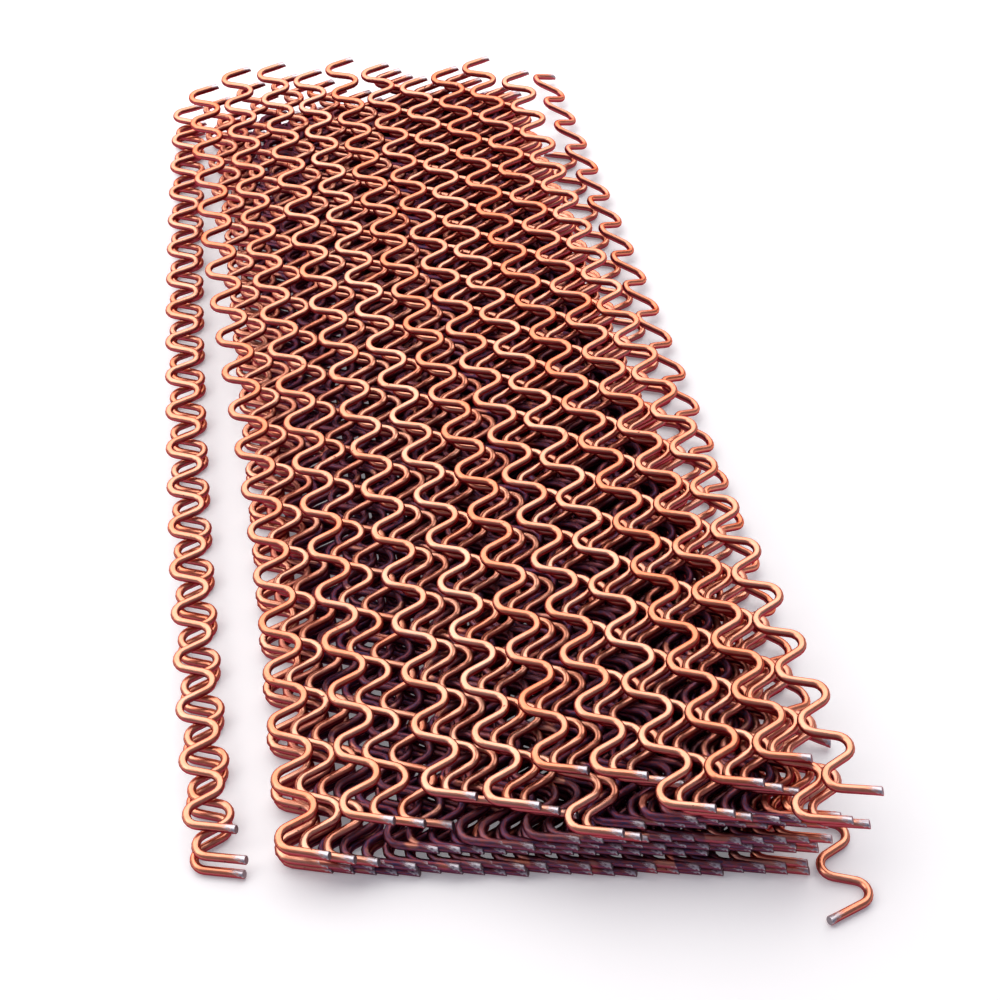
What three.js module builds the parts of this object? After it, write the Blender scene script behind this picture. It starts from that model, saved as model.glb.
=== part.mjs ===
// A heap of wavy wires, all bent alike. Sizes in millimetres: +X across the heap,
// +Y along the wires away from their front ends, +Z up. The heap stands on z = 0.
import * as THREE from 'three';

// One wire.
const WIRE = 2.0;             // wire thickness
const WAVE = 14.8;            // one full wave along the wire
const SWING = 4.0;            // wave axis to the centreline of a bend
const BENDS = 20;             // bends on the side that the wire starts and ends with
const TIP_RUN = 5.5;          // cut end to the nearest bend, along the wire
const FRONT_REACH = 6.5;      // front cut end's distance from the wave axis
const BACK_REACH = 4.6;       // back cut end's distance from the wave axis
const BEND_FLAT = 1.3;        // half the flat that stands for a bend on a fine wire
const PLAIN_SWING = 3.6;      // same overall width with one corner per bend
const LENGTH = 2 * TIP_RUN + WAVE * (BENDS - 1);

// The heap.
const LAYER = 2.45;           // height from one layer to the next
const RIGHT_BACK = 44.5;      // right edge wire of layer 0 at its back end
const RIGHT_FRONT = 48.0;     // and at its front end
const SLANT = 0.187;          // how far the front ends step forward per millimetre of +X
const NEST = 0.9;             // the same, for waves that lie fitted into each other
const FRONT = -150.0;         // front end of a wire that lies at x = 0
const TOP_LEVEL = 9;          // level of the highest wires
const CENTRE_X = 2.594;           // moves the finished heap onto the middle of its box
const CENTRE_Y = 6.906;

// Top wires, left to right: x at the back end, x at the front end, bow, level at the front
// end, and the front end's y. The heap's front is lower on the left. A wire with no y has
// its waves fitted to its neighbours' waves.
const TOP = [
  [-53.0, -52.5, 0.6, 4, -146.0],
  [-42.0, -38.0, 0.9, 5, -141.5],
  [-30.5, -20.0, 0.4, 6, -140.5],
  [-19.3, -7.5, 0.8, 7, -147.0],
  [-8.3, 4.0, 0.6, 8, -141.8],
  [2.8, 15.5, 0.2, 9, null],
  [13.9, 27.3, 0.0, 9, null],
  [24.9, 39.0, -0.6, 9, null],
  [35.9, 50.8, -1.1, 9, null],
  [47.1, 62.8, -1.7, 9, null],
];

// Covered layers 0 to 6, which reach less far left the higher they are: x of the left
// edge wire at its back and front ends, room for wires, and which of those inside are
// made here besides the two edge wires.
const COVERED = [
  [-47.0, -53.0, 23, [6, 14]],
  [-47.5, -52.0, 23, [10, 17]],
  [-31.0, -30.0, 18, [4, 11]],
  [-19.5, -13.0, 15, [5, 10]],
  [-8.5, -0.5, 12, [3, 8]],
  [2.5, 15.0, 10, [4]],
  [13.0, 24.0, 8, [2, 5]],
];

// Sideways S-shape that the wires of a layer share.
const S_SHAPE = { 7: 1.1, 8: 1.4, 9: 1.8 };

// Wires of layers 7 and 8: place in the gap between two top wires, as a share of it.
const IN_GAP = { 7: 0.7, 8: 0.36 };

// Loose wires beside the heap. z is the axis height, roll turns the wire's left side up.
const LOOSE = [
  { name: 'side_wire_low', back: -59.4, front: -71.0, bow: -3.0, y: -141.0, z: 1.0 },
  { name: 'side_wire_mid', back: -58.6, front: -70.2, bow: -3.6, y: -139.2, z: 3.45 },
  { name: 'side_wire_top', back: -58.9, front: -71.6, bow: -3.4, y: -132.6, z: 5.9,
    fine: true },
  { name: 'stray_wire_back', back: 63.0, front: 64.5, bow: 2.8, y: -131.0, z: 3.9,
    roll: 0.4, fine: true },
  { name: 'stray_wire_front', back: 59.4, front: 62.2, bow: 0, y: -175.0, z: 1.0,
    flip: true, fine: true },
];

// Repeatable unevenness between -1 and 1 from two whole numbers.
function uneven(a, b) {
  return ((a * 37 + b * 53 + 11 * a * b) % 19) / 9 - 1;
}

// Front end of a wire at x, near the slanting front, its waves fitted into the others.
function fitted(x) {
  const straight = FRONT - SLANT * x;
  const off = -NEST * x - straight;
  return straight + off - WAVE * Math.floor((off + 4) / WAVE);
}

// Axis heights at the front and back ends. Layers on the left lie further apart at the
// back, where the heap is nearly level.
function heights(level, back) {
  const apart = TOP_LEVEL / Math.min(TOP_LEVEL, Math.max(4.5, 8.75 + back / 11.16));
  return { z: WIRE / 2 + LAYER * level, zBack: WIRE / 2 + LAYER * level * apart };
}

// Where the wire in one of the places of a covered layer lies.
function coveredPlace(layer, place) {
  const [leftBack, leftFront, places] = COVERED[layer];
  const p = place / (places - 1);
  const sway = layer % 2 ? 0.8 : -0.8;
  const back = leftBack + (RIGHT_BACK - leftBack) * p + sway;
  const front = leftFront + (RIGHT_FRONT + layer - leftFront) * p - sway;
  const setback = 0.5 * layer - 3 + 1.2 * uneven(layer, 3) + 0.5 * uneven(layer, place + 5);
  const y = FRONT - SLANT * front + setback;
  return { back, front, bow: 0.8, y, ...heights(layer, back) };
}

// Where a wire of layers 7 and 8 lies, in the gap between two top wires. Layer 8 lies
// one level below the lower of the two, and layer 7 two levels. Its waves lie under
// those of the top wire on its left.
function gapPlace(layer, i) {
  const left = topPlace(i);
  const right = topPlace(i + 1);
  const back = left.back + (right.back - left.back) * IN_GAP[layer];
  const front = left.front + (right.front - left.front) * IN_GAP[layer];
  const bow = (left.bow + right.bow) / 2;
  const waves = Math.round((FRONT - SLANT * front - left.y) / WAVE);
  const level = Math.min(TOP[i][3], TOP[i + 1][3]) + layer - TOP_LEVEL;
  return { back, front, bow, y: left.y + WAVE * waves - 0.4, s: S_SHAPE[layer],
    ...heights(level, back) };
}

// Where a top wire lies.
function topPlace(i) {
  const [back, front, bow, level, y] = TOP[i];
  return { back, front, bow, y: y ?? fitted(front), s: S_SHAPE[9],
    ...heights(level, back) };
}

// Corner points of the wave's centreline, front end first, as [along, sideways].
function wave(fine) {
  const swing = fine ? SWING : PLAIN_SWING;
  const flats = fine ? [-BEND_FLAT, BEND_FLAT] : [0];
  const points = [[0, FRONT_REACH]];
  for (let half = 0; half < 2 * BENDS - 1; half += 1) {
    const side = half % 2 ? swing : -swing;
    for (const flat of flats) {
      points.push([TIP_RUN + half * WAVE / 2 + flat, side]);
    }
  }
  points.push([LENGTH, BACK_REACH]);
  return points;
}

// Centreline of a wire laid on its slightly slanting, slightly bent axis.
function laid(spec) {
  const { back, front, bow, y, z, zBack = z } = spec;
  const { s = 0, roll = 0, flip = false, fine = false } = spec;
  return wave(fine).map(([along, side]) => {
    const t = along / LENGTH;
    const turn = 2 * Math.PI * t;
    const axis = front + (back - front) * t + 4 * bow * t * (1 - t) + s * Math.sin(turn);
    const lean = (back - front + 4 * bow * (1 - 2 * t)
      + 2 * Math.PI * s * Math.cos(turn)) / LENGTH;
    const across = (flip ? -side : side) * Math.cos(roll);
    const up = z + (zBack - z) * t - (flip ? -side : side) * Math.sin(roll);
    return new THREE.Vector3(axis + across, y + along - across * lean, up);
  });
}

// Centreline that passes through given corners, with the direction given at each.
class CornerCurve extends THREE.Curve {
  constructor(corners, headings) {
    super();
    this.corners = corners;
    this.headings = headings;
  }

  between(list, u, target) {
    const place = u * (list.length - 1);
    const i = Math.min(Math.floor(place + 1e-6), list.length - 2);
    return target.lerpVectors(list[i], list[i + 1], Math.max(place - i, 0));
  }

  getPoint(u, target = new THREE.Vector3()) {
    return this.between(this.corners, u, target);
  }

  getPointAt(u, target = new THREE.Vector3()) {
    return this.between(this.corners, u, target);
  }

  getTangentAt(u, target = new THREE.Vector3()) {
    return this.between(this.headings, u, target).normalize();
  }
}

// Solid bar along corner points, with mitred corners and closed cut ends. A fine bar
// has four edges; a plain one has three and lies on its flat side.
function bar(spec) {
  const { fine = false, flip = false } = spec;
  const path = laid(spec);
  const last = path.length - 1;
  const run = WAVE / 2 - (fine ? 2 * BEND_FLAT : 0);
  const slope = Math.atan2(2 * (fine ? SWING : PLAIN_SWING), run);
  const halfTurn = fine ? slope / 2 : slope;
  const origin = new THREE.Vector2();
  const flat = path.map((p) => new THREE.Vector2(p.x, p.y));
  const legs = flat.slice(1).map((p, i) => p.clone().sub(flat[i]).normalize());
  const headings = flat.map((p, i) => {
    if (i === 0) {
      return legs[0].clone().rotateAround(origin, flip ? halfTurn : -halfTurn);
    }
    if (i === last) {
      return legs[last - 1].clone().rotateAround(origin, flip ? -halfTurn : halfTurn);
    }
    return legs[i - 1].clone().add(legs[i]).normalize();
  });
  const curve = new CornerCurve(
    path, headings.map((h) => new THREE.Vector3(h.x, h.y, 0)));
  const high = WIRE / 2;
  const wide = high / Math.cos(halfTurn);
  const outline = fine
    ? [[high, -wide], [high, wide], [-high, wide], [-high, -wide]]
    : [[high, -wide], [high, wide], [-high, 0]];
  const section = new THREE.Shape(outline.map(([x, y]) => new THREE.Vector2(x, y)));
  return new THREE.ExtrudeGeometry(section, { steps: last, extrudePath: curve });
}

const group = new THREE.Group();

function add(name, spec, colour) {
  const geometry = bar(spec);
  geometry.translate(CENTRE_X, CENTRE_Y, 0);
  const material = new THREE.MeshStandardMaterial({
    color: colour, roughness: 0.34, metalness: 1.0,
  });
  material.name = 'copper_coat';
  const mesh = new THREE.Mesh(geometry, material);
  mesh.name = name;
  group.add(mesh);
}

// Layers 0 to 6: the left edge wire, one or two inside, and the right edge wire.
COVERED.forEach(([, , places, inside], layer) => {
  const chosen = [['left', 0], ['inner', inside[0]], ['right', places - 1]];
  if (inside.length > 1) {
    chosen.push(['second_inner', inside[1]]);
  }
  chosen.forEach(([name, place]) => {
    add(`layer_${layer}_${name}_wire`, coveredPlace(layer, place), 0x9c4f32);
  });
});

// Layers 7 and 8: one wire each in every gap between top wires.
for (const layer of [7, 8]) {
  for (let i = 0; i < TOP.length - 1; i += 1) {
    add(`layer_${layer}_wire_${i + 1}`, gapPlace(layer, i), 0xb05c3a);
  }
}

// The top wires.
TOP.forEach((_, i) => {
  add(`top_wire_${i + 1}`, { ...topPlace(i), fine: true }, 0xd07a4e);
});

// Loose wires beside the heap.
LOOSE.forEach(({ name, ...spec }) => {
  add(name, spec, 0xc06a44);
});

export default group;
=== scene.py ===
"""Dresses a heap of loose wavy wires as round, copper-coated steel wire.

Every wire is one piece: a circle carried along a line of bends and straight legs. The
solids of the frame are replaced by round wires on the same lines, and the covered layers
get the wires that have no solid. Lengths are in millimetres up to the mesh, which is in
metres, and the stage says where it uses metres.
"""
import math

import bpy
import numpy as np
from bpy.props import FloatProperty, FloatVectorProperty, IntProperty, PointerProperty
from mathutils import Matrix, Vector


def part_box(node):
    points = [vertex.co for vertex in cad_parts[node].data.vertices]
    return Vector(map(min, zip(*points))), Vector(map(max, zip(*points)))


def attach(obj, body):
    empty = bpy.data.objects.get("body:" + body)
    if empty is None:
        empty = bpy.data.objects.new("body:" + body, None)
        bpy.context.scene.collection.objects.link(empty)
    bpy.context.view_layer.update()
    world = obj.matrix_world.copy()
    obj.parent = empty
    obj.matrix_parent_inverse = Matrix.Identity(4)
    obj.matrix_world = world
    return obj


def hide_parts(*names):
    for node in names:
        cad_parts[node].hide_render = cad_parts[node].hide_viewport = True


bl_info = {
    "name": "Wavy Wire Heap",
    "version": (1, 0, 0),
    "blender": (4, 5, 0),
    "location": "3D View > Sidebar > Wires",
    "description": "Builds a heap of loose, copper-coated wavy wires piece by piece",
    "category": "Add Mesh",
}

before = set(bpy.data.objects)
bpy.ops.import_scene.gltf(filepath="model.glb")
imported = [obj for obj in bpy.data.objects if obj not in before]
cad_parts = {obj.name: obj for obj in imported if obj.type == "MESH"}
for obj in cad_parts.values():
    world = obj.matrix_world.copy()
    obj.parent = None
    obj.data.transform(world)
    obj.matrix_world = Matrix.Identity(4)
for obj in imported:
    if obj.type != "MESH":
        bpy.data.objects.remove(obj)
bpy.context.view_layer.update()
MM = 0.001

# How the wires lie. These are the lines that the solids of the frame follow.
BENDS = 20            # bends on the side that a wire starts and ends with
FLOOR_AXIS = 1.0      # height of the axis of a wire that lies on the floor
LAYER = 2.45          # height from one layer to the next
RIGHT_BACK = 44.5     # right edge wire of layer 0 at its back end
RIGHT_FRONT = 48.0    # and at its front end
SLANT = 0.187         # how far the front ends step forward per millimetre of +X
NEST = 0.9            # the same, for waves that lie fitted into each other
FIT_AHEAD = 4.0       # most that such a wire's end may stand ahead of the slanting front
FRONT = -150.0        # front end of a wire that lies at x = 0
TOP_LEVEL = 9         # level of the highest wires
MIDDLE_LEVEL = 8.75   # level that the front reaches for wires that end at x = 0 behind
LEFT_LEVEL = 4.5      # level that it reaches at the left
LEVEL_RUN = 11.16     # distance along +X over which it rises by one level
CENTRE = (2.594, 6.906)    # moves the finished heap onto the middle of its box

# Top wires, left to right: x at the back end, x at the front end, bow, level at the front
# end, and the front end's y. The heap's front is lower on the left. A wire with no y has
# its waves fitted to its neighbours' waves.
TOP = (
    (-53.0, -52.5, 0.6, 4, -146.0),
    (-42.0, -38.0, 0.9, 5, -141.5),
    (-30.5, -20.0, 0.4, 6, -140.5),
    (-19.3, -7.5, 0.8, 7, -147.0),
    (-8.3, 4.0, 0.6, 8, -141.8),
    (2.8, 15.5, 0.2, 9, None),
    (13.9, 27.3, 0.0, 9, None),
    (24.9, 39.0, -0.6, 9, None),
    (35.9, 50.8, -1.1, 9, None),
    (47.1, 62.8, -1.7, 9, None),
)

# Covered layers 0 to 6, which reach less far left the higher they are: x of the left
# edge wire at its back and front ends, number of wires, and which of them, besides the
# two edge wires, have solids.
COVERED = (
    (-47.0, -53.0, 23, (6, 14)),
    (-47.5, -52.0, 23, (10, 17)),
    (-31.0, -30.0, 18, (4, 11)),
    (-19.5, -13.0, 15, (5, 10)),
    (-8.5, -0.5, 12, (3, 8)),
    (2.5, 15.0, 10, (4,)),
    (13.0, 24.0, 8, (2, 5)),
)
COVERED_BOW = 0.8     # bow of the wires of layers 0 to 6
SWAY = 0.8            # sideways shift of those layers, to the one side and the other in turn

S_SHAPE = {7: 1.1, 8: 1.4, 9: 1.8}    # sideways S-shape that a layer's wires share
IN_GAP = {7: 0.7, 8: 0.36}            # place of layers 7 and 8 between two top wires
GAP_AHEAD = 0.4       # how far their waves lie ahead of those of the top wire beside them

# Loose wires beside the heap. z is the axis height, roll turns the wire's left side up.
SIDE = (
    ("side_wire_low", dict(back=-59.4, front=-71.0, bow=-3.0, y=-141.0, z=1.0)),
    ("side_wire_mid", dict(back=-58.6, front=-70.2, bow=-3.6, y=-139.2, z=3.45)),
    ("side_wire_top", dict(back=-58.9, front=-71.6, bow=-3.4, y=-132.6, z=5.9)),
)
STRAY = (
    ("stray_wire_back", dict(back=63.0, front=64.5, bow=2.8, y=-131.0, z=3.9, roll=0.4)),
    ("stray_wire_front", dict(back=59.4, front=62.2, bow=0.0, y=-175.0, z=1.0, flip=True)),
)

# The stage. The camera stands in the same coordinates as the wires. The lamps' places and
# sizes and the floor are in metres.
CAMERA = (-47.6, -349.6, 317.0)
LAMPS = (
    ("overhead_lamp", (-0.1, 0.8, 1.05), (3.4, 2.3)),
    ("left_lamp", (-0.9, -0.1, 0.75), (0.5, 0.9)),
)
FLOOR_REACH = 6.0     # from the middle to each side of the floor
FLOOR_GAP = 0.0002    # from the floor up to the lowest wires

# The wires' surface.
CUT_STEPS = (0.0, 0.12, 0.5, 1.1, 1.8, 2.6)    # rings near a cut end, along the wire
CUT_EDGE = 0.9        # size of the ring at the cut, which rounds its edge
SPREAD = 0.55         # how much a pinched end grows wider, as a share of the pinch
COVERED_DETAIL = (5, 8)    # steps round a bend and sides of a wire of layers 0 to 6
CUT_UV = -1.0         # both UV coordinates of the cut faces
UV_LENGTH = 100.0     # length of wire that one unit of U stands for
SHADE_AT_CUT = 0.9       # share of a covered wire's painted shade that is left at its cut ends
SHADE_RUN = 3.0       # length of wire over which the painted shade comes up to its full share


def uneven(a, b):
    """Repeatable unevenness between -1 and 1 from two whole numbers."""
    return ((a * 37 + b * 53 + 11 * a * b) % 19) / 9 - 1


# ---------------------------------------------------------------- settings


class WireSettings(bpy.types.PropertyGroup):
    """One wire: its thickness, wave and cut ends."""

    thickness: FloatProperty(
        name="Thickness", description="Diameter of the wire, in mm",
        default=round((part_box("top_wire_10")[1][2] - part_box("top_wire_10")[0][2]) * 1000, 3),
        min=0.5, max=4.0)
    wave: FloatProperty(
        name="Wave", description="Length of one full wave, in mm", default=14.8, min=8.0)
    swing: FloatProperty(
        name="Swing", description="From the wave's axis to the middle of a bend, in mm",
        default=4.0, min=1.0)
    bend_radius: FloatProperty(
        name="Bend radius", description="Radius of the wire's centreline in a bend, in mm",
        default=3.0, min=1.1)
    tip_run: FloatProperty(
        name="Tip run", description="Along the wire from a cut end to its bend, in mm",
        default=5.5, min=1.0)
    front_reach: FloatProperty(
        name="Front reach", description="Front cut end's distance from the axis, in mm",
        default=6.5)
    back_reach: FloatProperty(
        name="Back reach", description="Back cut end's distance from the axis, in mm",
        default=4.6)
    pinch: FloatProperty(
        name="Pinch", description="How much the cutter flattened the ends",
        default=0.2, min=0.0, max=0.5, subtype="FACTOR")
    shear: FloatProperty(
        name="Shear", description="Slant of the cut face", default=math.radians(16),
        subtype="ANGLE", unit="ROTATION")
    bend_steps: IntProperty(
        name="Bend steps", description="Steps round one bend of a wire in plain view",
        default=8, min=3)
    sides: IntProperty(
        name="Sides", description="Sides of a wire in plain view", default=12, min=6)


class FinishSettings(bpy.types.PropertyGroup):
    """Colours and gloss of the copper coat, its painted shade, and the uncoated steel."""

    bright: FloatVectorProperty(
        name="Bright copper", description="Cleanest copper coat", subtype="COLOR",
        size=3, default=(0.98, 0.60, 0.43), min=0, max=1)
    warm: FloatVectorProperty(
        name="Warm copper", description="Duller, redder copper coat", subtype="COLOR",
        size=3, default=(0.84, 0.27, 0.14), min=0, max=1)
    # Painted shade: dark red copper painted on the lower side of the wires.
    painted_underside_shade: FloatVectorProperty(
        name="Underside", description="Dark red copper on the wires' undersides",
        subtype="COLOR", size=3, default=(0.31, 0.04, 0.065), min=0, max=1)
    # Painted shade: dark colour painted on the covered wires for the shade inside the heap, also
    # used for faint stains.
    shade_and_tarnish: FloatVectorProperty(
        name="Tarnish", description="Darkened copper on the covered wires",
        subtype="COLOR", size=3, default=(0.06, 0.048, 0.115), min=0, max=1)
    # Painted shade: the reddish colour of the same painted shade and stains.
    red_shade_and_tarnish: FloatVectorProperty(
        name="Red tarnish", description="Darkened copper where some red is left",
        subtype="COLOR", size=3, default=(0.22, 0.045, 0.06), min=0, max=1)
    edge: FloatVectorProperty(
        name="Edge", description="Tint of what the copper mirrors at a grazing angle",
        subtype="COLOR", size=3, default=(0.75, 0.20, 0.22), min=0, max=1)
    scuff: FloatVectorProperty(
        name="Scuff", description="Small dark scuffs",
        subtype="COLOR", size=3, default=(0.10, 0.03, 0.035), min=0, max=1)
    steel: FloatVectorProperty(
        name="Bare steel", description="Steel where the cutter dragged the coat off",
        subtype="COLOR", size=3, default=(0.62, 0.59, 0.62), min=0, max=1)
    sheared_dark: FloatVectorProperty(
        name="Sheared steel, dark", description="Darker grains of the cut faces",
        subtype="COLOR", size=3, default=(0.22, 0.19, 0.21), min=0, max=1)
    sheared_light: FloatVectorProperty(
        name="Sheared steel, light", description="Lighter grains of the cut faces",
        subtype="COLOR", size=3, default=(0.42, 0.38, 0.40), min=0, max=1)
    gloss: FloatProperty(
        name="Roughness", description="Roughness of the clean copper coat",
        default=0.30, min=0.0, max=1.0, subtype="FACTOR")


class StageSettings(bpy.types.PropertyGroup):
    """Floor, lamps and camera."""

    floor: FloatVectorProperty(
        name="Floor", description="Colour of the floor", subtype="COLOR", size=3,
        default=(0.9, 0.9, 0.88), min=0, max=1)
    glow: FloatProperty(
        name="Glow", description="How much the seen floor is lifted towards white",
        default=0.2, min=0.0)
    glow_colour: FloatVectorProperty(
        name="Glow colour", description="Colour of that glow", subtype="COLOR", size=3,
        default=(0.97, 0.96, 1.0), min=0, max=1)
    overhead: FloatProperty(
        name="Overhead lamp", description="Power of the soft overhead lamp",
        default=46.5, min=0.0, unit="POWER")
    side_share: FloatProperty(
        name="Left lamp", description="Power of the left lamp as a share of the overhead's",
        default=0.05, min=0.0)
    lamp_colour: FloatVectorProperty(
        name="Lamp colour", description="Colour of both lamps", subtype="COLOR", size=3,
        default=(1.0, 0.97, 0.95), min=0, max=1)
    sky: FloatProperty(
        name="Room light", description="Strength of the light from all round",
        default=0.24, min=0.0)
    sky_colour: FloatVectorProperty(
        name="Room colour", description="Colour of the light from all round",
        subtype="COLOR", size=3, default=(0.78, 0.74, 1.0), min=0, max=1)
    lens: FloatProperty(
        name="Lens", description="Focal length on a 36 mm sensor, in mm", default=61.2)
    heading: FloatProperty(
        name="Heading", description="Camera's turn from the wires' direction",
        default=math.radians(-10.6), subtype="ANGLE", unit="ROTATION")
    pitch: FloatProperty(
        name="Pitch", description="Camera's tilt from straight down",
        default=math.radians(45), subtype="ANGLE", unit="ROTATION")


# ---------------------------------------------------------------- wire shape


def turn_at_bend(run, rise, radius):
    """Angle that a bend turns through so that a straight leg leads on to a point.

    The point lies run along and rise across from the top of the bend. Arc and leg end
    there when radius + (rise - radius) cos(a) = run sin(a).
    """
    across = rise - radius
    return math.asin(radius / math.hypot(run, across)) + math.atan2(across, run)


def wave_line(wire, steps):
    """Centreline of one wire as arrays of distance along its axis and to the side.

    Bend j has its centre at tip_run + j wave / 2 and lies on the left for even j. Its
    points are centre + radius sin(a) along and -+(swing - radius + radius cos(a)) to
    the side, for a from minus the turn before the bend to the turn after it. A leg is
    the straight line between two bends, and the tips are straight lines with a few
    more points near the cut, where the cutter flattened the wire. Also returns the
    length of the axis.
    """
    half = wire.wave / 2
    radius = wire.bend_radius
    count = 2 * BENDS - 1
    turn = turn_at_bend(half / 2, wire.swing, radius)
    before = np.full(count, turn)
    after = np.full(count, turn)
    before[0] = turn_at_bend(wire.tip_run, wire.front_reach + wire.swing, radius)
    after[-1] = turn_at_bend(wire.tip_run, wire.back_reach + wire.swing, radius)
    j = np.arange(count)[:, None]
    a = np.linspace(0, 1, steps + 1)[None, :]
    a = -before[:, None] * (1 - a) + after[:, None] * a
    along = wire.tip_run + j * half + radius * np.sin(a)
    side = np.where(j % 2, 1, -1) * (wire.swing - radius + radius * np.cos(a))
    line = np.stack([along.ravel(), side.ravel()], axis=1)
    length = 2 * wire.tip_run + (count - 1) * half
    cuts = np.array(CUT_STEPS)[:, None]
    ends = np.array([[0.0, wire.front_reach], [length, wire.back_reach]])
    lead = line[0] - ends[0]
    trail = line[-1] - ends[1]
    front = ends[0] + cuts * lead / np.linalg.norm(lead)
    back = ends[1] + cuts[::-1] * trail / np.linalg.norm(trail)
    line = np.concatenate([front, line, back])
    return line[:, 0], line[:, 1], length


def lay_wire(wire, spec, steps):
    """Centreline in the heap, with its across and up directions.

    With t from 0 at the front to 1 at the back, the axis lies at
    x = front + (back - front) t + 4 bow t (1 - t) + s sin(2 pi t), at a height that
    changes evenly from z to z_back. A point off the axis is moved along the axis's
    normal, and a rolled wire is turned about its axis.
    """
    along, side, length = wave_line(wire, steps)
    t = along / length
    back, front, bow = spec["back"], spec["front"], spec["bow"]
    s, roll = spec.get("s", 0.0), spec.get("roll", 0.0)
    side = -side if spec.get("flip") else side
    axis = front + (back - front) * t + 4 * bow * t * (1 - t) + s * np.sin(2 * np.pi * t)
    lean = (back - front + 4 * bow * (1 - 2 * t)
            + 2 * np.pi * s * np.cos(2 * np.pi * t)) / length
    across = side * math.cos(roll)
    rise = spec.get("z_back", spec["z"]) - spec["z"]
    points = np.stack([
        axis + across + CENTRE[0],
        spec["y"] + along - across * lean + CENTRE[1],
        spec["z"] + rise * t - side * math.sin(roll),
    ], axis=1)
    up = np.array([math.sin(roll), 0.0, math.cos(roll)])
    return points, np.broadcast_to(up, points.shape)


def carry_circle(wire, points, up, sides):
    """Surface of the wire: a circle of sides points carried along the centreline.

    A ring's point is centre + r (w cos(a) n + h sin(a) u), with u the up direction, n
    square to u and to the line's direction, and a from 0 to 2 pi. The directions at a
    point are the mean of those of the two stretches that meet there. Near a cut end w
    grows and h shrinks by the pinch, and the last two rings are set on a slant.
    Returns vertices, distance to the nearest cut end, distance along, and sin(a).
    """
    leg = np.diff(points, axis=0)
    run = np.linalg.norm(leg, axis=1)
    leg = leg / run[:, None]
    ahead = np.concatenate([leg[:1], leg[:-1] + leg[1:], leg[-1:]])
    ahead /= np.linalg.norm(ahead, axis=1)[:, None]
    across = np.cross(up, ahead)
    across /= np.linalg.norm(across, axis=1)[:, None]
    rise = np.cross(ahead, across)
    done = np.concatenate([[0.0], np.cumsum(run)])
    gap = np.minimum(done, done[-1] - done)
    near = np.clip(1 - gap / CUT_STEPS[-1], 0, 1)
    flat = wire.pinch * near * near * (3 - 2 * near)
    a = 2 * np.pi * np.arange(sides) / sides
    radius = np.full(len(gap), wire.thickness / 2)
    radius[[0, -1]] *= CUT_EDGE
    wide = (radius * (1 + SPREAD * flat))[:, None, None] * np.cos(a)[None, :, None]
    high = (radius * (1 - flat))[:, None, None] * np.sin(a)[None, :, None]
    rings = points[:, None, :] + wide * across[:, None, :] + high * rise[:, None, :]
    slant = math.tan(wire.shear) * wire.thickness / 2 * np.sin(a)[:, None]
    for front, back in ((0, -1), (1, -2)):
        rings[front] += slant * ahead[front]
        rings[back] -= slant * ahead[back]
    return rings, gap, done, np.sin(a)


def tube_faces(rows, sides):
    """Corner indices of the tube's quads, and of its two end faces, facing outwards."""
    i = np.arange(rows - 1)[:, None] * sides
    k = np.arange(sides)[None, :]
    following = (k + 1) % sides
    quads = np.stack([i + k, i + following, i + sides + following, i + sides + k], axis=2)
    front = np.arange(sides)[::-1]
    back = np.arange(sides) + (rows - 1) * sides
    return quads.reshape(-1), front, back


def wire_piece(name, wire, spec, steps, sides, material, body, node=None):
    """One round wire as an object that rides on a body, and may replace a solid.

    The mesh keeps what the copper coat reads: end_gap, the distance to the nearest cut
    end; lift, which is 1 on top of the wire and -1 below; shade, how bright the wire's
    copper is; and covered, how much painted shade it gets.
    """
    points, up = lay_wire(wire, spec, steps)
    rings, gap, done, lift = carry_circle(wire, points, up, sides)
    rows = len(points)
    quads, front, back = tube_faces(rows, sides)
    corners = np.concatenate([quads, front, back])
    starts = np.concatenate([np.arange(0, len(quads), 4),
                             [len(quads), len(quads) + sides]])
    mesh = bpy.data.meshes.new(name)
    mesh.vertices.add(rows * sides)
    mesh.vertices.foreach_set("co", (rings * MM).ravel().astype(np.float32))
    mesh.loops.add(len(corners))
    mesh.loops.foreach_set("vertex_index", corners.astype(np.int32))
    mesh.polygons.add(len(starts))
    mesh.polygons.foreach_set("loop_start", starts.astype(np.int32))
    smooth = np.ones(len(starts), dtype=bool)
    smooth[-2:] = False
    mesh.polygons.foreach_set("use_smooth", smooth)
    mesh.update(calc_edges=True)

    # The UV map runs along the wire and once round it. The cut faces lie at one point.
    u = np.broadcast_to(done[:, None], (rows, sides + 1)) / UV_LENGTH
    v = np.broadcast_to(np.arange(sides + 1)[None, :] / sides, (rows, sides + 1))
    uv = np.stack([u, v], axis=2)
    flat_uv = np.stack([uv[:-1, :-1], uv[:-1, 1:], uv[1:, 1:], uv[1:, :-1]], axis=2)
    ends = np.full((2 * sides, 2), CUT_UV)
    layer = mesh.uv_layers.new(name="along_wire")
    layer.data.foreach_set(
        "uv", np.concatenate([flat_uv.reshape(-1, 2), ends]).ravel().astype(np.float32))
    # Painted shade for the wires inside the heap, a little less at the cut ends.
    share = np.clip(SHADE_AT_CUT + (1 - SHADE_AT_CUT) * gap / SHADE_RUN, 0, 1)
    covered = spec.get("covered", 0.0) * share
    values = {
        "end_gap": np.repeat(gap, sides),
        "lift": np.tile(lift, rows),
        "shade": np.full(rows * sides, spec["shade"]),
        "covered": np.repeat(covered, sides),
    }
    for key, value in values.items():
        attribute = mesh.attributes.new(key, "FLOAT", "POINT")
        attribute.data.foreach_set("value", value.astype(np.float32))
    mesh.materials.append(material)
    piece = bpy.data.objects.new(name, mesh)
    bpy.context.scene.collection.objects.link(piece)
    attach(piece, body)
    if node:
        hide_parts(node)
    return piece


# ---------------------------------------------------------------- places in the heap


def fitted(x, wave):
    """Front end of a wire at x, near the slanting front, its waves fitted into the others."""
    straight = FRONT - SLANT * x
    off = -NEST * x - straight
    return straight + off - wave * math.floor((off + FIT_AHEAD) / wave)


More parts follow.
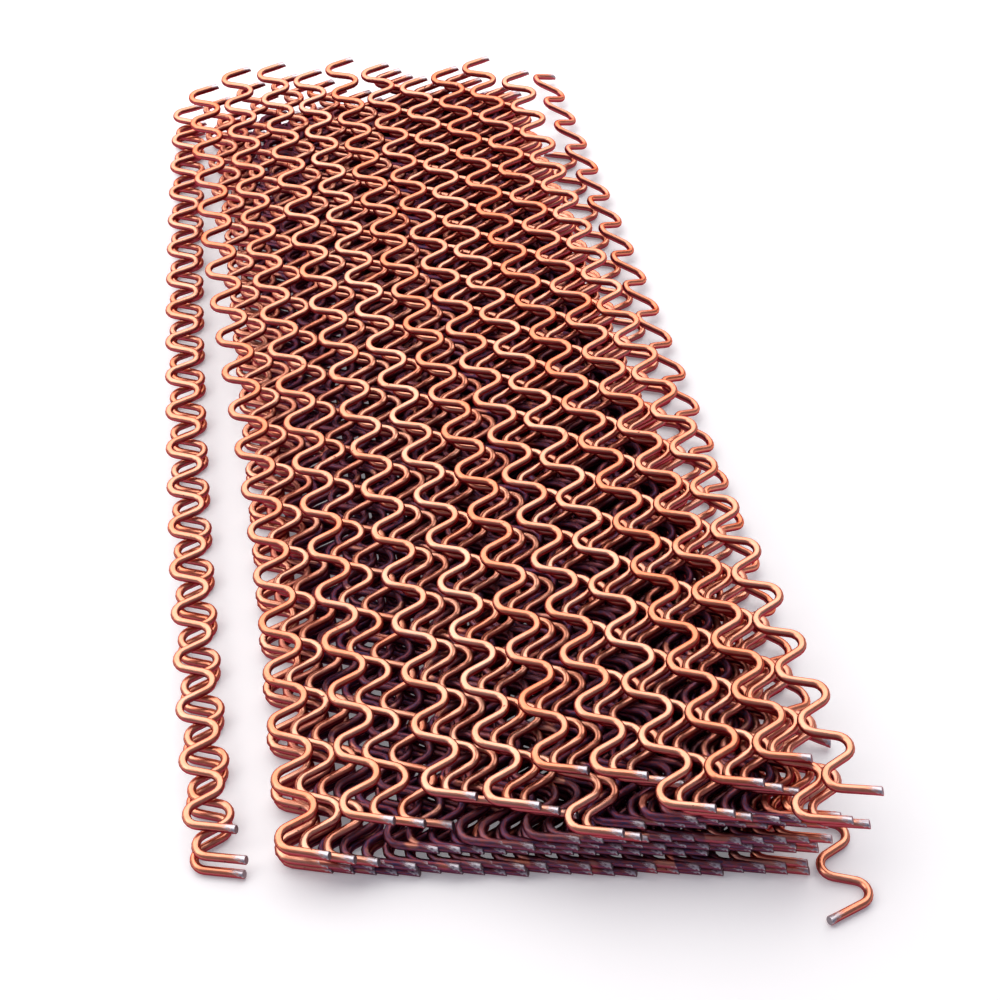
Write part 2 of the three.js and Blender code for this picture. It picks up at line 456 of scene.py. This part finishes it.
def heights(level, back):
    """Axis heights at the front and back ends of a wire.

    Layers on the left lie further apart at the back, where the heap is nearly level.
    """
    reached = min(TOP_LEVEL, max(LEFT_LEVEL, MIDDLE_LEVEL + back / LEVEL_RUN))
    apart = TOP_LEVEL / reached
    return dict(z=FLOOR_AXIS + LAYER * level, z_back=FLOOR_AXIS + LAYER * level * apart)


def covered_place(layer, place):
    """Where a wire of layers 0 to 6 lies.

    Its front end stands a little ahead of the slanting front in the lowest layer and
    less in each higher one, with some unevenness from layer to layer and wire to wire.
    """
    left_back, left_front, places, _ = COVERED[layer]
    p = place / (places - 1)
    sway = SWAY if layer % 2 else -SWAY
    back = left_back + (RIGHT_BACK - left_back) * p + sway
    front = left_front + (RIGHT_FRONT + layer - left_front) * p - sway
    setback = 0.5 * layer - 3 + 1.2 * uneven(layer, 3) + 0.5 * uneven(layer, place + 5)
    return dict(back=back, front=front, bow=COVERED_BOW, y=FRONT - SLANT * front + setback,
                **heights(layer, back))


def gap_place(layer, i, wave):
    """Where a wire of layers 7 and 8 lies, in the gap between two top wires.

    Layer 8 lies one level below the lower of the two, and layer 7 two levels. Its waves
    lie under those of the top wire on its left.
    """
    left, right = top_place(i, wave), top_place(i + 1, wave)
    share = IN_GAP[layer]
    back = left["back"] + (right["back"] - left["back"]) * share
    front = left["front"] + (right["front"] - left["front"]) * share
    waves = round((FRONT - SLANT * front - left["y"]) / wave)
    level = min(TOP[i][3], TOP[i + 1][3]) + layer - TOP_LEVEL
    return dict(back=back, front=front, bow=(left["bow"] + right["bow"]) / 2,
                y=left["y"] + wave * waves - GAP_AHEAD, s=S_SHAPE[layer],
                **heights(level, back))


def top_place(i, wave):
    """Where a top wire lies."""
    back, front, bow, level, y = TOP[i]
    return dict(back=back, front=front, bow=bow, y=fitted(front, wave) if y is None else y,
                s=S_SHAPE[9], **heights(level, back))


# ---------------------------------------------------------------- finishes


class Value:
    """Wraps a socket so that shader maths can be written as an expression."""

    def __init__(self, shader, socket):
        self.shader = shader
        self.socket = socket

    def _math(self, operation, *others):
        values = [other.socket if isinstance(other, Value) else other for other in others]
        node = self.shader.node(
            "ShaderNodeMath", {"operation": operation}, dict(enumerate(values)))
        return Value(self.shader, node.outputs[0])

    def __add__(self, other):
        return self._math("ADD", self, other)

    def __radd__(self, other):
        return self._math("ADD", other, self)

    def __sub__(self, other):
        return self._math("SUBTRACT", self, other)

    def __rsub__(self, other):
        return self._math("SUBTRACT", other, self)

    def __mul__(self, other):
        return self._math("MULTIPLY", self, other)

    def clamped(self):
        """The value held between 0 and 1."""
        return self._math("MINIMUM", self._math("MAXIMUM", self, 0.0), 1.0)

    def between(self, low, high):
        """0 below low, 1 above high and a smooth S between them."""
        node = self.shader.node(
            "ShaderNodeMapRange", {"interpolation_type": "SMOOTHSTEP"},
            {"Value": self.socket, "From Min": low, "From Max": high})
        return Value(self.shader, node.outputs[0])


class Shader:
    """A material's node tree, filled by one method."""

    def __init__(self, name):
        self.material = bpy.data.materials.new(name)
        self.material.use_nodes = True
        self.tree = self.material.node_tree
        self.tree.nodes.clear()

    def node(self, kind, settings=None, inputs=None):
        """A node of a kind, with its settings and then the values or links of sockets."""
        node = self.tree.nodes.new(kind)
        for key, value in (settings or {}).items():
            setattr(node, key, value)
        for key, value in (inputs or {}).items():
            value = value.socket if isinstance(value, Value) else value
            if isinstance(value, bpy.types.NodeSocket):
                self.tree.links.new(value, node.inputs[key])
            else:
                node.inputs[key].default_value = value
        return node

    def attribute(self, name):
        """A number kept on the mesh."""
        node = self.node("ShaderNodeAttribute", {"attribute_name": name})
        return Value(self, node.outputs["Fac"])

    def noise(self, vector, scale, detail=2.0, rough=0.5):
        """Noise between 0 and 1."""
        node = self.node("ShaderNodeTexNoise", {"noise_dimensions": "3D"}, {
            "Vector": vector, "Scale": scale, "Detail": detail, "Roughness": rough})
        return Value(self, node.outputs["Fac"])

    def mix(self, factor, first, second):
        """Colour between two colours or colour sockets."""
        first = (*first, 1.0) if isinstance(first, tuple) else first
        second = (*second, 1.0) if isinstance(second, tuple) else second
        node = self.node("ShaderNodeMix", {"data_type": "RGBA"},
                         {0: factor, 6: first, 7: second})
        return node.outputs[2]


def copper_coat(finish):
    """Thin bright copper over drawn steel wire.

    Cloudy copper with lengthwise streaks from the drawing die, with dark red painted shade
    on the undersides; dark and reddish painted shade on the covered wires for the shade inside
    the heap, with a few bright patches left as painted glints, and faint stains; small dark
    scuffs; uncoated steel smeared over the last millimetres before a cut, mostly on the upper
    side, where it also stands in as a painted highlight; and grey sheared steel on the cut
    faces.
    """
    shader = Shader("copper_coat_wire")
    spot = shader.node("ShaderNodeTexCoord").outputs["Object"]
    along = shader.node("ShaderNodeUVMap", {"uv_map": "along_wire"}).outputs[0]
    drawn = shader.node("ShaderNodeMapping", {}, {
        "Vector": along, "Scale": (18.0, 7.0, 1.0)}).outputs[0]
    shade = shader.attribute("shade")
    covered = shader.attribute("covered")
    lift = shader.attribute("lift")
    end_gap = shader.attribute("end_gap")

    clouds = shader.noise(spot, scale=95.0, detail=3.0)
    streaks = shader.noise(drawn, scale=3.0, detail=3.0, rough=0.6)
    grain = shader.noise(spot, scale=2600.0)

    # Clean copper, and dark red painted shade towards the lower side of each wire.
    cloudy = (clouds * 1.1 + streaks * 0.7 + shade * 0.5 - 0.92).clamped()
    copper = shader.mix(cloudy, tuple(finish.warm), tuple(finish.bright))
    # Painted shade: the copper turns dark red towards the lower side, by lift.
    low = (0.5 - lift * 0.5 + clouds * 0.24 - 0.12).between(0.1, 0.36)
    copper = shader.mix(low * 0.95, copper, tuple(finish.painted_underside_shade))

    # Painted shade on the covered wires, for the shade inside the heap, with a few bright
    # patches left in it as painted glints; faint cloudy patches of the same colours are stains.
    glints = shader.noise(spot, scale=150.0, detail=1.0).between(0.6, 0.68)
    painted_shade_and_stain = (covered * (1 - glints * 0.6) + clouds.between(0.62, 0.85) * 0.15).clamped()
    shade_and_stain_colour = shader.mix(
        streaks.between(0.4, 0.6), tuple(finish.shade_and_tarnish), tuple(finish.red_shade_and_tarnish))
    copper = shader.mix(painted_shade_and_stain, copper, shade_and_stain_colour)

    # Scuffs, in patches.
    specks = shader.noise(spot, scale=900.0, detail=1.0).between(0.7, 0.76)
    patches = shader.noise(spot, scale=60.0, detail=1.0).between(0.48, 0.62)
    scuffs = specks * patches
    copper = shader.mix(scuffs * 0.75, copper, tuple(finish.scuff))

    # Steel near a cut, where the cutter dragged the coat off, put mostly on the wire's upper
    # side so that it also stands in as a painted highlight; and sheared steel on the cut.
    drag = shader.noise(drawn, scale=6.0, rough=0.6)
    steel_and_highlight = (lift * 1.2 + drag * 2.8 - end_gap * 0.36).between(1.45, 1.85)
    colour = shader.mix(steel_and_highlight, copper, tuple(finish.steel))
    unrolled = shader.node("ShaderNodeSeparateXYZ", {}, {"Vector": along})
    cut = (0 - Value(shader, unrolled.outputs["X"])).between(0.4, 0.6)
    sheared = shader.mix(grain, tuple(finish.sheared_dark), tuple(finish.sheared_light))
    colour = shader.mix(cut, colour, sheared)

    rough = finish.gloss + clouds * 0.12 + painted_shade_and_stain * 0.16 + scuffs * 0.3 + cut * 0.2 - 0.04
    height = streaks * 0.6 + grain * 0.35 + scuffs * -0.8 + steel_and_highlight * drag * 1.5
    bump = shader.node("ShaderNodeBump", {}, {
        "Height": height, "Strength": 0.35, "Distance": 0.00006})
    surface = shader.node("ShaderNodeBsdfPrincipled", {}, {
        "Base Color": colour, "Metallic": 1.0, "Roughness": rough,
        "Specular Tint": (*finish.edge, 1.0), "Normal": bump.outputs[0]})
    shader.node("ShaderNodeOutputMaterial", {}, {"Surface": surface.outputs[0]})
    return shader.material


def shared_finish(context):
    """The one copper coat that all the wires share."""
    made = bpy.data.materials.get("copper_coat_wire")
    return made or copper_coat(context.scene.wire_finish)


def pale_floor(stage):
    """Pale matt floor that renders white where it is lit and keeps its shadows.

    What the camera, a glossy ray or a transmission ray sees is lifted by a small, even
    glow, so that the lit floor reaches white.
    """
    shader = Shader("pale_floor")
    place = shader.node("ShaderNodeTexCoord")
    mottle = shader.noise(place.outputs["Object"], scale=9.0, detail=3.0)
    pale = tuple(stage.floor)
    dull = tuple(0.985 * channel for channel in pale)
    colour = shader.mix(mottle, pale, dull)
    rays = shader.node("ShaderNodeLightPath")
    seen = Value(shader, rays.outputs["Is Camera Ray"])
    mirrored = (Value(shader, rays.outputs["Is Glossy Ray"])
                + Value(shader, rays.outputs["Is Transmission Ray"])).clamped()
    glow = shader.node("ShaderNodeEmission", {}, {
        "Color": (*stage.glow_colour, 1.0), "Strength": (seen + mirrored) * stage.glow})
    matt = shader.node("ShaderNodeBsdfDiffuse", {}, {"Color": colour})
    both = shader.node("ShaderNodeAddShader", {}, {0: matt.outputs[0], 1: glow.outputs[0]})
    shader.node("ShaderNodeOutputMaterial", {}, {"Surface": both.outputs[0]})
    return shader.material


# ---------------------------------------------------------------- operators


def solid_nodes(layer):
    """The nodes of a covered layer's solids, by their places in the layer."""
    _, _, places, inside = COVERED[layer]
    parts = {0: "left", places - 1: "right"}
    parts.update(zip(inside, ("inner", "second_inner")))
    return {place: f"layer_{layer}_{part}_wire" for place, part in parts.items()}


def how_covered(layer, place):
    """How much painted shade a wire of layers 0 to 6 gets, from 0 to 1.

    The outermost wire gets none, the next one half and all others the full painted shade,
    for the shade inside the heap. On the left, only the two lowest layers are seen from
    outside.
    """
    from_right = COVERED[layer][2] - 1 - place
    outer = from_right if layer > 1 else min(place, from_right)
    return min(outer, 2) / 2 * (0.91 + 0.09 * uneven(place, layer))


def plain_view_piece(context, name, spec, body, node):
    """One round wire that is in plain view and replaces a solid."""
    wire = context.scene.wire_shape
    return wire_piece(name, wire, spec, wire.bend_steps, wire.sides,
                      shared_finish(context), body, node)


class HEAP_OT_covered_layers(bpy.types.Operator):
    """Add every wire of layers 0 to 6, some of which replace solids"""

    bl_idname = "heap.covered_layers"
    bl_label = "Covered layers"

    def execute(self, context):
        wire = context.scene.wire_shape
        material = shared_finish(context)
        for layer, (_, _, places, _) in enumerate(COVERED):
            nodes = solid_nodes(layer)
            for place in range(places):
                spec = covered_place(layer, place)
                spec["shade"] = 0.5 + 0.4 * uneven(layer + 2, place)
                # Painted shade for the wires inside the heap.
                spec["covered"] = how_covered(layer, place)
                wire_piece(f"layer_{layer}_round_wire_{place + 1}", wire, spec,
                           *COVERED_DETAIL, material, f"layer_{layer}", nodes.get(place))
        return {"FINISHED"}


class HEAP_OT_gap_layers(bpy.types.Operator):
    """Replace the wires of layers 7 and 8, seen in the gaps between the top wires"""

    bl_idname = "heap.gap_layers"
    bl_label = "Wires in the gaps"

    def execute(self, context):
        wave = context.scene.wire_shape.wave
        for layer in IN_GAP:
            for i in range(len(TOP) - 1):
                spec = gap_place(layer, i, wave)
                # Painted light: brighter copper on these wires makes up for the shade that the
                # top wires cast on them. Layer 7 also gets a little painted shade.
                spec["shade"] = 0.8 + 0.2 * uneven(layer, i + 3)
                spec["covered"] = 0.1 if layer == 7 else 0.0
                plain_view_piece(context, f"layer_{layer}_round_wire_{i + 1}", spec,
                                 f"layer_{layer}", f"layer_{layer}_wire_{i + 1}")
        return {"FINISHED"}


class HEAP_OT_top_wires(bpy.types.Operator):
    """Replace the ten top wires"""

    bl_idname = "heap.top_wires"
    bl_label = "Top wires"

    def execute(self, context):
        for i in range(len(TOP)):
            spec = top_place(i, context.scene.wire_shape.wave)
            spec["shade"] = 0.6 + 0.4 * uneven(i, 4)
            node = f"top_wire_{i + 1}"
            plain_view_piece(context, f"top_round_wire_{i + 1}", spec, node, node)
        return {"FINISHED"}


class HEAP_OT_side_wires(bpy.types.Operator):
    """Replace the three wires that lie on the left of the heap"""

    bl_idname = "heap.side_wires"
    bl_label = "Side wires"

    def execute(self, context):
        for i, (node, spec) in enumerate(SIDE):
            spec = dict(spec, shade=0.4 + 0.2 * i)
            plain_view_piece(context, f"{node}_round", spec, node, node)
        return {"FINISHED"}


class HEAP_OT_stray_wires(bpy.types.Operator):
    """Replace the two stray wires on the right of the heap"""

    bl_idname = "heap.stray_wires"
    bl_label = "Stray wires"

    def execute(self, context):
        for i, (node, spec) in enumerate(STRAY):
            spec = dict(spec, shade=0.35 + 0.3 * i)
            plain_view_piece(context, f"{node}_round", spec, node, node)
        return {"FINISHED"}


def add_floor(scene, stage):
    """Square floor just below the heap."""
    reach, below = FLOOR_REACH, -FLOOR_GAP
    corners = [(-reach, -reach, below), (reach, -reach, below),
               (reach, reach, below), (-reach, reach, below)]
    mesh = bpy.data.meshes.new("floor")
    mesh.from_pydata(corners, [], [(0, 1, 2, 3)])
    mesh.materials.append(pale_floor(stage))
    floor = bpy.data.objects.new("floor", mesh)
    scene.collection.objects.link(floor)


def add_lamp(scene, name, place, size, power, colour):
    """Soft rectangular lamp that points at the middle of the heap's foot."""
    lamp = bpy.data.lights.new(name, "AREA")
    lamp.shape = "RECTANGLE"
    lamp.size, lamp.size_y = size
    lamp.energy = power
    lamp.color = colour
    holder = bpy.data.objects.new(name, lamp)
    holder.location = place
    x, y, z = place
    holder.rotation_euler = (
        math.atan2(math.hypot(x, y), z), 0, math.atan2(-y, -x) - math.pi / 2)
    scene.collection.objects.link(holder)


def add_world(scene, stage):
    """Even light from all round."""
    world = bpy.data.worlds.new("studio")
    world.use_nodes = True
    background = world.node_tree.nodes["Background"]
    background.inputs["Color"].default_value = (*stage.sky_colour, 1.0)
    background.inputs["Strength"].default_value = stage.sky
    scene.world = world


def add_camera(scene, stage):
    """Camera in front of the heap and to its left, which looks down along the wires."""
    view = bpy.data.cameras.new("camera")
    view.sensor_width = 36.0
    view.lens = stage.lens
    view.clip_start = 0.01
    camera = bpy.data.objects.new("camera", view)
    camera.location = ((CAMERA[0] + CENTRE[0]) * MM, (CAMERA[1] + CENTRE[1]) * MM,
                       CAMERA[2] * MM)
    camera.rotation_euler = (stage.pitch, 0, stage.heading)
    scene.collection.objects.link(camera)
    scene.camera = camera


class HEAP_OT_stage(bpy.types.Operator):
    """Add the floor, the lamps, the world and the camera"""

    bl_idname = "heap.stage"
    bl_label = "Stage"

    def execute(self, context):
        scene = context.scene
        stage = scene.wire_stage
        add_floor(scene, stage)
        powers = (stage.overhead, stage.overhead * stage.side_share)
        for (name, place, size), power in zip(LAMPS, powers):
            add_lamp(scene, name, place, size, power, stage.lamp_colour)
        add_world(scene, stage)
        add_camera(scene, stage)
        scene.view_settings.view_transform = "Standard"
        return {"FINISHED"}


class HEAP_PT_pieces(bpy.types.Panel):
    """Lists the heap's pieces and settings"""

    bl_label = "Wavy Wire Heap"
    bl_idname = "HEAP_PT_pieces"
    bl_space_type = "VIEW_3D"
    bl_region_type = "UI"
    bl_category = "Wires"

    def draw(self, context):
        for kind in OPERATORS:
            self.layout.operator(kind.bl_idname)
        for group in ("wire_shape", "wire_finish", "wire_stage"):
            settings = getattr(context.scene, group)
            box = self.layout.box()
            for key in settings.bl_rna.properties.keys():
                if key not in {"rna_type", "name"}:
                    box.prop(settings, key)


SETTINGS = (WireSettings, FinishSettings, StageSettings)
OPERATORS = (
    HEAP_OT_covered_layers,
    HEAP_OT_gap_layers,
    HEAP_OT_top_wires,
    HEAP_OT_side_wires,
    HEAP_OT_stray_wires,
    HEAP_OT_stage,
)


def register():
    for kind in (*SETTINGS, *OPERATORS, HEAP_PT_pieces):
        bpy.utils.register_class(kind)
    bpy.types.Scene.wire_shape = PointerProperty(type=WireSettings)
    bpy.types.Scene.wire_finish = PointerProperty(type=FinishSettings)
    bpy.types.Scene.wire_stage = PointerProperty(type=StageSettings)


def unregister():
    del bpy.types.Scene.wire_shape
    del bpy.types.Scene.wire_finish
    del bpy.types.Scene.wire_stage
    for kind in reversed((*SETTINGS, *OPERATORS, HEAP_PT_pieces)):
        bpy.utils.unregister_class(kind)


def main():
    register()
    bpy.ops.heap.stage()
    bpy.ops.heap.covered_layers()
    bpy.ops.heap.gap_layers()
    bpy.ops.heap.top_wires()
    bpy.ops.heap.side_wires()
    bpy.ops.heap.stray_wires()


if __name__ == "__main__":
    main()
